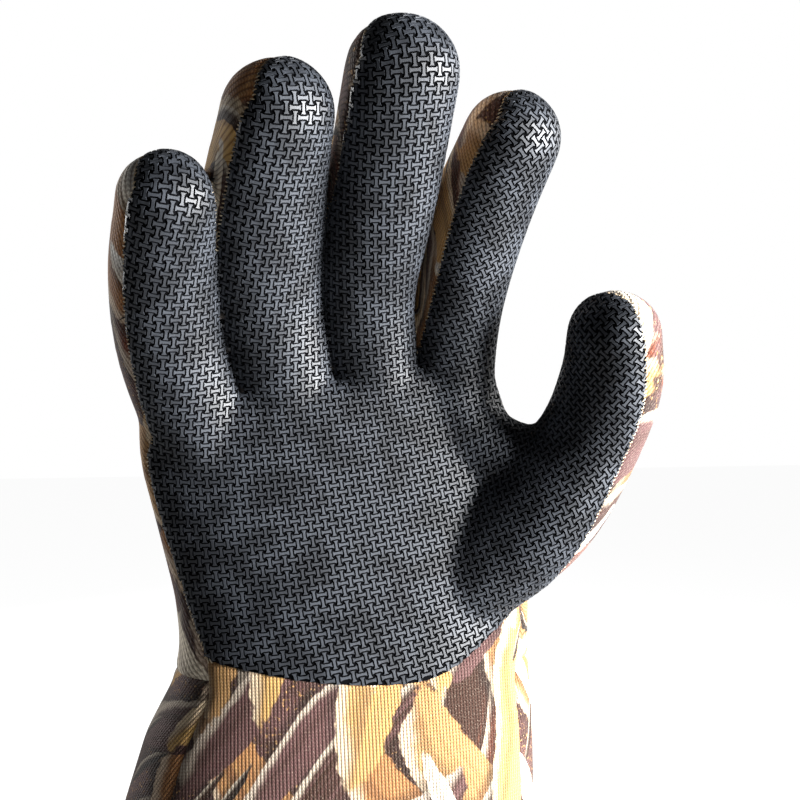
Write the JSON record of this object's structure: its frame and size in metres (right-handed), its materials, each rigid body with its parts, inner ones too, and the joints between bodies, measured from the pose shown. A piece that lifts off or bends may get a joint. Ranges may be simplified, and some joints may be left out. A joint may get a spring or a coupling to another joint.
{
  "type": "neoprene decoy gauntlet",
  "caption": "Long neoprene glove for handling decoys in cold water, with an embossed rubber palm and a wide forearm cuff.",
  "frame": {"origin": "centre of the open mouth of the cuff, where the arm goes in", "axes": "+Z from the mouth of the cuff to the fingertips, the palm faces -Y, the thumb is at +X"},
  "size_m": [0.1717, 0.1104, 0.3703],
  "materials": {
    "palm_rubber": "embossed black rubber face on neoprene",
    "back_cloth": "camouflage knit face on neoprene",
    "cuff_front_cloth": "camouflage knit face on neoprene",
    "cuff_back_cloth": "camouflage knit face on neoprene",
    "binding_cloth": "folded knit edge binding"
  },
  "bodies": {
    "root": {"palm_panel": "palm_rubber", "back_panel": "back_cloth", "little_finger_back": "back_cloth", "ring_finger_back": "back_cloth", "middle_finger_back": "back_cloth", "index_finger_back": "back_cloth", "thumb_back": "back_cloth", "cuff_front_panel": "cuff_front_cloth", "cuff_back_panel": "cuff_back_cloth", "cuff_binding": "binding_cloth"}
  },
  "joints": []
}
